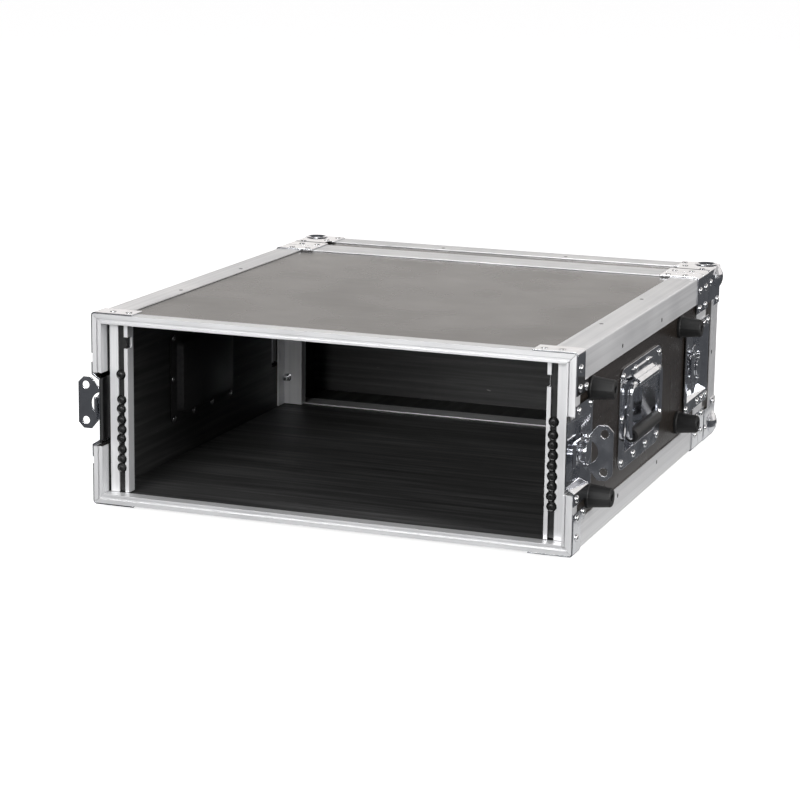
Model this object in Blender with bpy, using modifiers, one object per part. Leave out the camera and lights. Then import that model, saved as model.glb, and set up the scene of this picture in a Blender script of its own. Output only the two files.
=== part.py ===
"""Four-unit 19 inch equipment rack case: plywood body in aluminium extrusions, rear lid fitted, front lid off.

Metres, +Z up, front opening towards -Y, right-hand side towards +X. The origin is under the middle of the case.
"""
import math

import bmesh
import bpy
from mathutils import Matrix, Vector

MM = 0.001

# Overall size, measured on the outside of the aluminium unless stated.
HALF_WIDTH = 258.0 * MM
BODY_HEIGHT = 199.6 * MM
BALL_DROP = 6.5 * MM          # the ball corners reach this far below the aluminium
OVERALL_DEPTH = 593.0 * MM    # front frame to the rear of the ball corners
JOINT_DEPTH = 504.0 * MM      # front frame to the plane where body and rear lid meet
LID_DEPTH = 81.5 * MM

BASE = BALL_DROP
TOP = BASE + BODY_HEIGHT
MIDDLE = (BASE + TOP) / 2
FRONT = -OVERALL_DEPTH / 2
JOINT = FRONT + JOINT_DEPTH
REAR = JOINT + LID_DEPTH

# Sheet, board and clearance.
GAP = 0.3 * MM
SKIN = 1.2 * MM               # wall of the extrusions and of the pressed steel
BOARD = 7.0 * MM
BOARD_OUT = SKIN + GAP        # outer face of the board, inwards from the aluminium
BOARD_IN = BOARD_OUT + BOARD
LEG_IN = BOARD_IN + GAP       # inner leg of the frame extrusions
LIP = LEG_IN + SKIN

# Frame extrusions round the open edges.
WEB = 3.5 * MM
FRONT_LEG = 16.0 * MM
REAR_LEG = 21.0 * MM
LID_LEG = 22.0 * MM
INNER_LEG = 14.2 * MM
GROOVE_OUT = 4.6 * MM
GROOVE_IN = 7.8 * MM
GROOVE_DEPTH = 2.4 * MM
CORNER_R = 2.0 * MM

# Edge angle and braces.
ANGLE_LEG = 30.5 * MM
BRACE_TOP_LEG = 46.0 * MM
BRACE_SIDE_LEG = 43.0 * MM
BRACE_START = 0.8 * MM
BRACE_WIDTH = 25.7 * MM
EAR_REACH = 12.0 * MM
EAR_HEIGHT = 12.0 * MM

# Rack rails: 19 inch equipment screws stand 465 mm apart.
SCREW_SPACING = 465.0 * MM
RAIL_SETBACK = 14.5 * MM
RAIL_DEPTH = 13.0 * MM
RAIL_WALL = 2.0 * MM
RAIL_WING = 31.0 * MM
RAIL_SLOT = 6.6 * MM
RAIL_INNER = 225.0 * MM
RAIL_OUTER = 245.5 * MM
NOTCH_LOW = 162.5 * MM        # nut entry notch, above the aluminium's underside
NOTCH_HIGH = 174.5 * MM
NOTCH_BAR = 1.2 * MM          # strip of the flange left behind the notch

# Recessed butterfly latches.
LATCH_Z = MIDDLE - 0.8 * MM
LATCH_AXIS = 28.0 * MM        # drum axis, back from the open edge
DISH_FACE = HALF_WIDTH + 1.5 * MM
DISH_FLOOR = HALF_WIDTH - 7.0 * MM
DISH_HALF = 37.5 * MM
DISH_DRAFT = 6.0 * MM
DISH_END_DRAFT = 4.2 * MM
FLANGE_R = 5.0 * MM
FRONT_DISH = (50.0 * MM, 57.0 * MM)    # how far the recess and its flange reach back from the edge
REAR_DISH = (60.0 * MM, 70.0 * MM)
DISH_FLANGE_HALF = 50.0 * MM
KEEPER_DISH = (30.0 * MM, 37.0 * MM)
CORE_R = 5.0 * MM
DRUM_R = 10.5 * MM
DRUM_TOP = HALF_WIDTH + 6.6 * MM
PIN_X = HALF_WIDTH + 4.2 * MM
PIN_R = 1.4 * MM
PIN_HALF = 17.5 * MM
WING_REACH = 27.0 * MM
WING_HALF = 27.5 * MM
WING_SHEET = 1.4 * MM
WING_SHOULDER = 12.0 * MM
KNUCKLE_LENGTH = 3.0 * MM
WING_CUT_R = 12.2 * MM
WING_HOLE_R = 4.2 * MM
WING_HOLE_Z = 18.9 * MM
WING_HOLE_X = 18.3 * MM
HOOK_STROKE = 8.0 * MM
HOOK_NOSE = 3.0 * MM
HOOK_X = HALF_WIDTH - 3.0 * MM
HOOK_HALF = 12.0 * MM
HOOK_SHEET = 1.6 * MM
HOOK_BAR_R = 2.0 * MM

# Recessed side handles.
HANDLE_Y = FRONT + 246.0 * MM
HANDLE_Z = LATCH_Z
HANDLE_HALF_LENGTH = 83.0 * MM
HANDLE_HALF_HEIGHT = 53.5 * MM
HANDLE_R = 16.0 * MM
RECESS_HALF_LENGTH = 63.0 * MM
RECESS_HALF_HEIGHT = 36.5 * MM
RECESS_FLOOR = HALF_WIDTH - 14.5 * MM
RECESS_DRAFT = 3.0 * MM
RECESS_R = 5.0 * MM
PIVOT_X = HALF_WIDTH + 4.3 * MM
PIVOT_Z = HANDLE_Z + 32.5 * MM
ROD_R = 3.5 * MM
BAIL_HALF = 60.0 * MM
BAIL_DROP = 53.5 * MM
BAIL_CORNER_R = 8.0 * MM
STRAP_HALF = 38.0 * MM
STRAP_R = 5.1 * MM
STRAP_TOP = 14.0 * MM
GRIP_R = 7.0 * MM
GRIP_HALF = 50.0 * MM

# Rubber feet on the right-hand side.
FOOT_DEPTHS = (57.5 * MM, 409.0 * MM)
FOOT_HEIGHTS = (47.5 * MM, 156.0 * MM)
FOOT_BASE_R = 12.8 * MM
FOOT_TIP_R = 9.6 * MM
FOOT_LENGTH = 25.2 * MM
FOOT_HOLE_R = 3.6 * MM
FOOT_HOLE_DEPTH = 12.0 * MM

# Ball corners of the rear lid.
BALL_R = 20.0 * MM
BALL_OUT = 7.5 * MM
BALL_TOP_OUT = 2.5 * MM
BALL_LEG = 45.0 * MM
BALL_LONG_LEG = 53.5 * MM
# Depth along x, y and z at which each face's plate is cut back to its two legs.
BALL_NOTCHES = ((0.0, 24.0 * MM, 36.0 * MM), (36.0 * MM, 0.0, 24.0 * MM), (38.0 * MM, 38.0 * MM, 0.0))
DIMPLE_R = 11.5 * MM
DIMPLE_SPHERE_R = 20.0 * MM

LEVELS = {"top": 1, "bottom": -1}

MATERIALS = {
    "board_outside": ((0.055, 0.048, 0.042), 0.35, 0.0),
    "aluminium": ((0.78, 0.78, 0.79), 0.32, 1.0),
    "chrome": ((0.62, 0.63, 0.66), 0.12, 1.0),
    "bright_zinc": ((0.72, 0.73, 0.75), 0.25, 1.0),
    "black_rubber": ((0.025, 0.025, 0.026), 0.7, 0.0),
}


# ---------------------------------------------------------------- shared tools

def clear_scene():
    for obj in list(bpy.data.objects):
        bpy.data.objects.remove(obj, do_unlink=True)


def make_collection(name):
    collection = bpy.data.collections.new(name)
    bpy.context.scene.collection.children.link(collection)
    return collection


def make_material(name, kind):
    colour, roughness, metallic = MATERIALS[kind]
    material = bpy.data.materials.new(name)
    material.use_nodes = True
    shader = material.node_tree.nodes["Principled BSDF"]
    shader.inputs["Base Color"].default_value = (*colour, 1.0)
    shader.inputs["Roughness"].default_value = roughness
    shader.inputs["Metallic"].default_value = metallic
    material.diffuse_color = (*colour, 1.0)
    return material


def new_object(name, mesh, collection):
    obj = bpy.data.objects.new(name, mesh)
    collection.objects.link(obj)
    return obj


def mesh_object(name, bm, collection):
    mesh = bpy.data.meshes.new(name)
    bmesh.ops.recalc_face_normals(bm, faces=bm.faces)
    bm.to_mesh(mesh)
    bm.free()
    return new_object(name, mesh, collection)


def box_mesh(low, high, bevel=0.0, segments=2):
    """A bmesh box between two corners, its edges rounded if bevel is given."""
    bm = bmesh.new()
    bmesh.ops.create_cube(bm, size=1.0)
    low, high = Vector(low), Vector(high)
    size = high - low
    bmesh.ops.scale(bm, vec=size, verts=bm.verts)
    bmesh.ops.translate(bm, vec=(low + high) / 2, verts=bm.verts)
    if bevel:
        bmesh.ops.bevel(bm, geom=bm.edges, offset=bevel, segments=segments, affect="EDGES", profile=0.5)
    return bm


def box(name, x_range, y_range, z_range, collection):
    low, high = zip(sorted(x_range), sorted(y_range), sorted(z_range))
    return mesh_object(name, box_mesh(low, high), collection)


def arc(centre, radius, start, end, steps):
    """Points on an arc, both ends included, angles in degrees."""
    points = []
    for step in range(steps + 1):
        angle = math.radians(start + (end - start) * step / steps)
        points.append((centre[0] + radius * math.cos(angle), centre[1] + radius * math.sin(angle)))
    return points


def rounded_rectangle(half_x, half_y, radius, steps=4, centre=(0.0, 0.0)):
    points = []
    for turn, (sign_x, sign_y) in enumerate(((1, 1), (-1, 1), (-1, -1), (1, -1))):
        corner = (centre[0] + sign_x * (half_x - radius), centre[1] + sign_y * (half_y - radius))
        points += arc(corner, radius, 90 * turn, 90 * turn + 90, steps)
    return points


AXIS_FRAMES = {
    # outline x, outline y, extrusion direction
    "x": Matrix(((0, 0, 1), (1, 0, 0), (0, 1, 0))),
    "y": Matrix(((1, 0, 0), (0, 0, -1), (0, 1, 0))),
    "z": Matrix(((1, 0, 0), (0, 1, 0), (0, 0, 1))),
}


def outline_solid(name, outlines, axis, start, end, collection):
    """Closed outlines (the later ones are holes) drawn across an axis and extruded along it.

    Across x an outline is (y, z), across y it is (x, z), across z it is (x, y).
    """
    curve = bpy.data.curves.new(name, "CURVE")
    curve.dimensions = "2D"
    curve.fill_mode = "BOTH"
    curve.extrude = abs(end - start) / 2
    for points in outlines:
        spline = curve.splines.new("POLY")
        spline.points.add(len(points) - 1)
        for point, (u, v) in zip(spline.points, points):
            point.co = (u, v, 0.0, 1.0)
        spline.use_cyclic_u = True
    guide = new_object(name + "_guide", curve, collection)
    frame = AXIS_FRAMES[axis].to_4x4()
    along = AXIS_FRAMES[axis].col[2] * ((start + end) / 2)
    if axis == "y":
        along = Vector((0.0, (start + end) / 2, 0.0))
    guide.matrix_world = Matrix.Translation(along) @ frame
    return curve_to_mesh(guide, name, collection)


def curve_to_mesh(guide, name, collection):
    """Turn a curve object into a welded mesh object at its place, and remove the curve."""
    bpy.context.view_layer.update()
    evaluated = guide.evaluated_get(bpy.context.evaluated_depsgraph_get())
    mesh = bpy.data.meshes.new_from_object(evaluated)
    mesh.transform(guide.matrix_world)
    bm = bmesh.new()
    bm.from_mesh(mesh)
    bmesh.ops.remove_doubles(bm, verts=bm.verts, dist=0.000005)
    bmesh.ops.dissolve_limit(bm, angle_limit=0.001, verts=bm.verts, edges=bm.edges)
    bpy.data.meshes.remove(mesh)
    bpy.data.objects.remove(guide, do_unlink=True)
    return mesh_object(name, bm, collection)


def apply_modifiers(obj):
    bpy.context.view_layer.update()
    evaluated = obj.evaluated_get(bpy.context.evaluated_depsgraph_get())
    mesh = bpy.data.meshes.new_from_object(evaluated)
    obj.modifiers.clear()
    obj.data = mesh


def combine(obj, other, operation):
    """Boolean of obj with another object, which is used up."""
    modifier = obj.modifiers.new("join", "BOOLEAN")
    modifier.operation = operation
    modifier.solver = "EXACT"
    modifier.object = other
    apply_modifiers(obj)
    bpy.data.objects.remove(other, do_unlink=True)
    return obj


def cylinder(name, radius, start, end, axis, centre, segments, collection):
    """A cylinder along an axis between two coordinates; centre is the point across it."""
    return outline_solid(name, [arc(centre, radius, 0, 360 - 360 / segments, segments - 1)], axis, start, end,
                         collection)


def frustum(name, face_x, floor_x, face, floor, corner_r, collection):
    """A four-sided tapered block across the x axis; face and floor are ((y0, y1), (z0, z1))."""
    bm = bmesh.new()
    bmesh.ops.create_cube(bm, size=1.0)
    for vert in bm.verts:
        (y0, y1), (z0, z1) = face if vert.co.x > 0 else floor
        reach = face_x if vert.co.x > 0 else floor_x
        vert.co = Vector((reach, y1 if vert.co.y > 0 else y0, z1 if vert.co.z > 0 else z0))
    if corner_r:
        running = [edge for edge in bm.edges if abs(edge.verts[0].co.x - edge.verts[1].co.x) > MM]
        bmesh.ops.bevel(bm, geom=running, offset=corner_r, segments=3, affect="EDGES", profile=0.5)
    return mesh_object(name, bm, collection)


def mirrored_twin(obj, name, flip, collection):
    """The mirror image of a finished piece as an object of its own, its origin mirrored too."""
    mesh = obj.data.copy()
    mesh.transform(flip.to_3x3().to_4x4())
    mesh.flip_normals()
    twin = new_object(name, mesh, collection)
    twin.location = flip @ obj.location
    material = obj.data.materials[0].copy()
    material.name = name
    mesh.materials.clear()
    mesh.materials.append(material)


def shade_round(obj, degrees=32):
    obj.data.shade_smooth()
    obj.data.set_sharp_from_angle(angle=math.radians(degrees))


def set_origin(obj, point):
    """Move an object's origin without moving its surface."""
    offset = Vector(point)
    obj.data.transform(Matrix.Translation(-offset))
    obj.location = offset


def finish(obj, kind, smooth=False):
    obj.data.materials.clear()
    obj.data.materials.append(make_material(obj.name, kind))
    if smooth:
        shade_round(obj)
    return obj


# ---------------------------------------------------------------- boards

def outline_ring(offset):
    """Rectangle across the case at a depth inwards from the aluminium."""
    half_x = HALF_WIDTH - offset
    half_z = BODY_HEIGHT / 2 - offset
    if offset < CORNER_R - 0.5 * MM:
        return rounded_rectangle(half_x, half_z, CORNER_R - offset, centre=(0.0, MIDDLE))
    return [(half_x, MIDDLE + half_z), (-half_x, MIDDLE + half_z), (-half_x, MIDDLE - half_z),
            (half_x, MIDDLE - half_z)]


def ring(name, outer, inner, start, end, collection):
    """A picture-frame prism between two depths in the wall, running from start to end along y."""
    start, end = sorted((start, end))
    return outline_solid(name, [outline_ring(outer), outline_ring(inner)], "y", start, end, collection)


def build_flat_boards(parts):
    y_range = (FRONT + WEB + GAP, JOINT - WEB - GAP)
    half = HALF_WIDTH - BOARD_OUT
    for level, sign in LEVELS.items():
        z_range = (MIDDLE + sign * (BODY_HEIGHT / 2 - BOARD_OUT), MIDDLE + sign * (BODY_HEIGHT / 2 - BOARD_IN))
        finish(box(level + "_panel", (-half, half), y_range, z_range, parts), "board_outside")


def build_side_board(parts, cutters):
    """Right-hand board, cut out for the handle and for the two latches."""
    half_height = BODY_HEIGHT / 2 - LEG_IN
    board = box("right_panel", (HALF_WIDTH - BOARD_IN, HALF_WIDTH - BOARD_OUT),
                (FRONT + WEB + GAP, JOINT - WEB - GAP), (MIDDLE - half_height, MIDDLE + half_height), parts)
    through = (HALF_WIDTH - 20 * MM, HALF_WIDTH + 5 * MM)
    clear = SKIN + GAP
    hole = rounded_rectangle(RECESS_HALF_LENGTH + clear, RECESS_HALF_HEIGHT + clear, RECESS_R,
                             centre=(HANDLE_Y, HANDLE_Z))
    combine(board, outline_solid("handle_hole", [hole], "x", *through, cutters), "DIFFERENCE")
    notch = (LATCH_Z - DISH_HALF - clear, LATCH_Z + DISH_HALF + clear)
    for edge, inward, reach in ((FRONT, 1, FRONT_DISH[0]), (JOINT, -1, REAR_DISH[0])):
        y_range = (edge - inward * 5 * MM, edge + inward * (reach + clear))
        combine(board, box("latch_hole", through, y_range, notch, cutters), "DIFFERENCE")
    finish(board, "board_outside")


# ---------------------------------------------------------------- frame extrusions

def frame_ring(name, edge, inward, outer_leg, collection, cutters):
    """The channel section that closes the edge of the box, all the way round."""
    body = ring(name, 0.0, LIP, edge, edge + inward * outer_leg, collection)
    beyond = edge + inward * (outer_leg + MM)
    shorter = ring("short_inner_leg", SKIN, LIP + 5 * MM, edge + inward * INNER_LEG, beyond, cutters)
    combine(body, shorter, "DIFFERENCE")
    combine(body, ring("board_channel", SKIN, LEG_IN, edge + inward * WEB, beyond, cutters), "DIFFERENCE")
    return body


def cut_groove(body, edge, inward, cutters):
    groove = ring("groove", GROOVE_OUT, GROOVE_IN, edge - inward * MM, edge + inward * GROOVE_DEPTH, cutters)
    combine(body, groove, "DIFFERENCE")


def latch_stop(level_sign):
    """Where a frame upright ends beside the latch."""
    return LATCH_Z + level_sign * (DISH_HALF + SKIN + GAP)


def build_front_frame(parts, cutters):
    """Mitred at the corners, the uprights parted by the latches."""
    whole = frame_ring("front_frame", FRONT, 1, FRONT_LEG, cutters, cutters)
    cut_groove(whole, FRONT, 1, cutters)
    half_x, half_z = HALF_WIDTH, BODY_HEIGHT / 2
    depth = (FRONT - 5 * MM, FRONT + FRONT_LEG + 5 * MM)
    inner = 40 * MM
    out = 10 * MM
    slack = GAP / 2 * math.sqrt(2)
    wedges = {}
    for level, sign in LEVELS.items():
        wedges[level] = [(-half_x - out + slack, MIDDLE + sign * (half_z + out)),
                         (half_x + out - slack, MIDDLE + sign * (half_z + out)),
                         (half_x - inner - slack, MIDDLE + sign * (half_z - inner)),
                         (-half_x + inner + slack, MIDDLE + sign * (half_z - inner))]
    for part_name, sign in (("right_upper", 1), ("right_lower", -1)):
        wedges[part_name] = [(half_x + out, MIDDLE + sign * (half_z + out - slack)),
                             (half_x - inner, MIDDLE + sign * (half_z - inner - slack)),
                             (half_x - inner, latch_stop(sign)), (half_x + out, latch_stop(sign))]
    for part_name, wedge in wedges.items():
        member = new_object("front_frame_" + part_name, whole.data.copy(), parts)
        combine(member, outline_solid("wedge", [wedge], "y", *depth, cutters), "INTERSECT")
        finish(member, "aluminium", smooth=True)
    bpy.data.objects.remove(whole, do_unlink=True)


def cut_latch_notches(body, edge, inward, reach, cutters):
    """Openings for the latch dishes; the frame's inner leg runs on behind them."""
    clear = DISH_HALF + SKIN + GAP
    for sign in (1, -1):
        x_range = (sign * (HALF_WIDTH - BOARD_IN), sign * (HALF_WIDTH + 5 * MM))
        y_range = (edge - inward * 5 * MM, edge + inward * reach)
        combine(body, box("notch", x_range, y_range, (LATCH_Z - clear, LATCH_Z + clear), cutters), "DIFFERENCE")


def build_rear_frame(parts, cutters):
    """Upper and lower halves, parted by the latches like the front uprights."""
    whole = frame_ring("rear_frame", JOINT, -1, REAR_LEG, cutters, cutters)
    cut_groove(whole, JOINT, -1, cutters)
    x_range = (-HALF_WIDTH - MM, HALF_WIDTH + MM)
    y_range = (JOINT - REAR_LEG - MM, JOINT + MM)
    for part_name, sign in (("upper", 1), ("lower", -1)):
        half = new_object("rear_frame_" + part_name, whole.data.copy(), parts)
        z_range = (latch_stop(sign), MIDDLE + sign * BODY_HEIGHT)
        combine(half, box("half", x_range, y_range, z_range, cutters), "INTERSECT")
        finish(half, "aluminium", smooth=True)
    bpy.data.objects.remove(whole, do_unlink=True)


def corner_profile(leg_x, leg_z, outer, wall, outer_r, level_sign):
    """L section of a right-hand corner, as (x, z); outer is how far it stands off the aluminium."""
    x_out = HALF_WIDTH + outer
    z_out = BODY_HEIGHT / 2 + outer
    inner_r = max(outer_r - wall, 0.2 * MM)
    profile = [(x_out, z_out - leg_z)]
    profile += arc((x_out - outer_r, z_out - outer_r), outer_r, 0, 90, 4)
    profile += [(x_out - leg_x, z_out), (x_out - leg_x, z_out - wall)]
    profile += arc((x_out - wall - inner_r, z_out - wall - inner_r), inner_r, 90, 0, 3)
    profile += [(x_out - wall, z_out - leg_z)]
    return [(x, MIDDLE + level_sign * z) for x, z in profile]


def build_edge_angles(parts):
    y_range = (FRONT + FRONT_LEG + GAP, JOINT - REAR_LEG - GAP)
    for level, level_sign in LEVELS.items():
        profile = corner_profile(ANGLE_LEG, ANGLE_LEG, 0.0, SKIN, CORNER_R, level_sign)
        angle = outline_solid("edge_angle_" + level + "_right", [profile], "y", *y_range, parts)
        finish(angle, "aluminium", smooth=True)


def build_front_braces(parts, cutters):
    """Pressed corner braces over the front frame's joints, each with an ear at the end of its side leg."""
    stand_off = GAP + SKIN
    start = FRONT + BRACE_START
    end = start + BRACE_WIDTH
    for level, level_sign in LEVELS.items():
        profile = corner_profile(BRACE_TOP_LEG, BRACE_SIDE_LEG, stand_off, SKIN, CORNER_R + stand_off, level_sign)
        brace = outline_solid("front_brace_" + level + "_right", [profile], "y", start, end, parts)
        tip = BODY_HEIGHT / 2 + stand_off - BRACE_SIDE_LEG
        z_range = (MIDDLE + level_sign * tip, MIDDLE + level_sign * (tip + EAR_HEIGHT))
        ear = box("ear", (HALF_WIDTH + GAP, HALF_WIDTH + stand_off), (end - 5 * MM, end + EAR_REACH), z_range,
                  cutters)
        combine(brace, ear, "UNION")
        finish(brace, "chrome", smooth=True)


# ---------------------------------------------------------------- rack rails

def build_rack_rails(parts, cutters):
    """Slotted channels for sliding nuts, with a wing against the side board."""
    wall = HALF_WIDTH - BOARD_IN - GAP
    slot_near = SCREW_SPACING / 2 - RAIL_SLOT / 2
    slot_far = SCREW_SPACING / 2 + RAIL_SLOT / 2
    back = RAIL_DEPTH - RAIL_WALL
    section = [(wall, back), (RAIL_OUTER, back), (RAIL_OUTER, 0.0), (slot_far, 0.0), (slot_far, RAIL_WALL),
               (RAIL_OUTER - RAIL_WALL, RAIL_WALL), (RAIL_OUTER - RAIL_WALL, back), (RAIL_INNER + RAIL_WALL, back),
               (RAIL_INNER + RAIL_WALL, RAIL_WALL), (slot_near, RAIL_WALL), (slot_near, 0.0), (RAIL_INNER, 0.0),
               (RAIL_INNER, RAIL_DEPTH), (wall - RAIL_WALL, RAIL_DEPTH), (wall - RAIL_WALL, RAIL_WING),
               (wall, RAIL_WING)]
    face = JOINT - RAIL_SETBACK
    outline = [(x, face - depth) for x, depth in section]
    rail = outline_solid("rack_rail_rear_right", [outline], "z", BASE + LIP + GAP, TOP - LIP - GAP, parts)
    notch = box("nut_entry", (RAIL_INNER - MM, slot_near + MM), (face + MM, face - back + NOTCH_BAR),
                (BASE + NOTCH_LOW, BASE + NOTCH_HIGH), cutters)
    combine(rail, notch, "DIFFERENCE")
    finish(rail, "aluminium", smooth=True)
    turn = Matrix.Translation((0.0, FRONT + JOINT, 0.0)) @ Matrix.Diagonal((1.0, -1.0, 1.0, 1.0))
    mirrored_twin(rail, "rack_rail_front_right", turn, parts)


# ---------------------------------------------------------------- latches

def pressed_dish(name, edge, inward, reach, flange_reach, collection, cutters):
    """A recessed tray open at the joint plane, with a flange round its other three sides."""
    start = edge + inward * GAP
    end = edge + inward * flange_reach
    near, far = sorted((start - inward * FLANGE_R * 2, end))
    flange = rounded_rectangle((far - near) / 2, DISH_FLANGE_HALF, FLANGE_R, 3, centre=((near + far) / 2, LATCH_Z))
    dish = outline_solid(name, [flange], "x", DISH_FACE - SKIN, DISH_FACE, collection)
    trim = box("trim", (DISH_FACE - 5 * MM, DISH_FACE + 5 * MM), (start - inward * 30 * MM, start),
               (LATCH_Z - 80 * MM, LATCH_Z + 80 * MM), cutters)
    combine(dish, trim, "DIFFERENCE")

    def tray(label, thickness, face_x, floor_x, start_y):
        face = (sorted((start_y, edge + inward * (reach + thickness))),
                (LATCH_Z - DISH_HALF - thickness, LATCH_Z + DISH_HALF + thickness))
        floor = (sorted((start_y, edge + inward * (reach - DISH_END_DRAFT + thickness))),
                 (LATCH_Z - DISH_HALF + DISH_DRAFT - thickness, LATCH_Z + DISH_HALF - DISH_DRAFT + thickness))
        return frustum(label, face_x, floor_x, face, floor, 0.0, cutters)

    combine(dish, tray("outside", SKIN, DISH_FACE - SKIN * 0.5, DISH_FLOOR - SKIN, start), "UNION")
    combine(dish, tray("inside", 0.0, DISH_FACE + MM, DISH_FLOOR, start - inward * 5 * MM), "DIFFERENCE")
    return dish


def clear_the_feet(dish, depth, cutters):
    for height in FOOT_HEIGHTS:
        base = cylinder("foot_space", FOOT_BASE_R + GAP, DISH_FACE - 2 * MM, DISH_FACE + 2 * MM, "x",
                        (FRONT + depth, BASE + height), 32, cutters)
        combine(dish, base, "DIFFERENCE")


def build_rotor(name, axis_y, parts, cutters):
    """Core, drum and hinge pin: the piece that the wing turns."""
    centre = (axis_y, LATCH_Z)
    rotor = cylinder(name, CORE_R, DISH_FLOOR + GAP, HALF_WIDTH + MM, "x", centre, 16, parts)
    combine(rotor, cylinder("drum", DRUM_R, HALF_WIDTH - 0.7 * MM, DRUM_TOP, "x", centre, 28, cutters), "UNION")
    pin = cylinder("pin", PIN_R, LATCH_Z - PIN_HALF, LATCH_Z + PIN_HALF, "z", (PIN_X, axis_y), 10, cutters)
    combine(rotor, pin, "UNION")
    finish(rotor, "chrome", smooth=True)
    set_origin(rotor, (DISH_FLOOR, axis_y, LATCH_Z))


def build_wing(name, axis_y, inward, folded, parts, cutters):
    """The butterfly plate, drawn in its own plane as (reach from the pin, height)."""
    root = PIN_R + GAP
    knuckle_start = DRUM_R + 1.9 * MM
    knuckle_end = knuckle_start + KNUCKLE_LENGTH
    half = WING_HALF
    cut = 6.0 * MM
    outline = [(root, -knuckle_start)] + arc((0.0, 0.0), WING_CUT_R, -80, 80, 12)
    outline += [(root, knuckle_start), (root, knuckle_end), (WING_SHOULDER, half), (WING_REACH - cut, half),
                (WING_REACH, half - cut), (WING_REACH, cut - half), (WING_REACH - cut, -half),
                (WING_SHOULDER, -half), (root, -knuckle_end)]
    outlines = [outline]
    for level in (1, -1):
        outlines.append(arc((WING_HOLE_X, level * WING_HOLE_Z), WING_HOLE_R, 0, 345, 23))
    if folded:
        placed = [[(axis_y + inward * reach, LATCH_Z + height) for reach, height in line] for line in outlines]
        wing = outline_solid(name, placed, "x", PIN_X - WING_SHEET / 2, PIN_X + WING_SHEET / 2, parts)
    else:
        placed = [[(PIN_X + reach, LATCH_Z + height) for reach, height in line] for line in outlines]
        wing = outline_solid(name, placed, "y", axis_y - WING_SHEET / 2, axis_y + WING_SHEET / 2, parts)
    for level in (1, -1):
        z_range = sorted((LATCH_Z + level * (knuckle_start + 0.15 * MM), LATCH_Z + level * (knuckle_end - 0.1 * MM)))
        centre = (PIN_X, axis_y)
        knuckle = cylinder("knuckle", PIN_R + GAP + SKIN, *z_range, "z", centre, 12, cutters)
        combine(wing, knuckle, "UNION")
        bore = cylinder("bore", PIN_R + GAP, z_range[0] - MM, z_range[1] + MM, "z", centre, 12, cutters)
        combine(wing, bore, "DIFFERENCE")
    finish(wing, "bright_zinc", smooth=True)
    set_origin(wing, (PIN_X, axis_y, LATCH_Z))


def build_hook(name, edge, inward, extended, parts, cutters):
    """Claw plate that slides along y round the rotor's core; its nose is a round bar."""
    shift = -inward * HOOK_STROKE if extended else 0.0
    nose = edge + inward * (HOOK_NOSE + HOOK_BAR_R) + shift
    core = edge + inward * LATCH_AXIS + shift
    slot_end = core + inward * HOOK_STROKE
    tail = slot_end + inward * (CORE_R + 3.0 * MM)
    outline = rounded_rectangle(abs(tail - nose) / 2, HOOK_HALF, 2.0 * MM, 2, centre=((nose + tail) / 2, LATCH_Z))
    clear = CORE_R + 0.4 * MM
    low_y, high_y = sorted((core, slot_end))
    slot = arc((high_y, LATCH_Z), clear, -90, 90, 8) + arc((low_y, LATCH_Z), clear, 90, 270, 8)
    hook = outline_solid(name, [outline, slot], "x", HOOK_X, HOOK_X + HOOK_SHEET, parts)
    bar = cylinder("bar", HOOK_BAR_R, LATCH_Z - HOOK_HALF + 0.2 * MM, LATCH_Z + HOOK_HALF - 0.2 * MM, "z",
                   (HOOK_X + HOOK_BAR_R + 0.2 * MM, nose), 12, cutters)
    combine(hook, bar, "UNION")
    finish(hook, "chrome", smooth=True)
    set_origin(hook, (HOOK_X, nose, LATCH_Z))


def build_latches(parts, cutters):
    for end_name, edge, inward, closed, reaches in (("front", FRONT, 1, False, FRONT_DISH),
                                                    ("rear", JOINT, -1, True, REAR_DISH)):
        axis_y = edge + inward * LATCH_AXIS
        tag = "_" + end_name + "_right"
        dish = pressed_dish("latch_dish" + tag, edge, inward, *reaches, parts, cutters)
        finish(dish, "chrome")
        build_rotor("latch_rotor" + tag, axis_y, parts, cutters)
        build_wing("latch_wing" + tag, axis_y, inward, closed, parts, cutters)
        build_hook("latch_hook" + tag, edge, inward, closed, parts, cutters)


def build_keeper(parts, cutters):
    """The lid's half of a rear latch, with the rib that the claw draws on."""
    keeper = pressed_dish("latch_keeper_right", JOINT, 1, *KEEPER_DISH, parts, cutters)
    rib = box("rib", (DISH_FLOOR - 0.5 * SKIN, HOOK_X - GAP), (JOINT + 1.0 * MM, JOINT + 3.0 * MM),
              (LATCH_Z - 10 * MM, LATCH_Z + 10 * MM), cutters)
    combine(keeper, rib, "UNION")
    finish(keeper, "chrome")


# ---------------------------------------------------------------- handles

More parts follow.
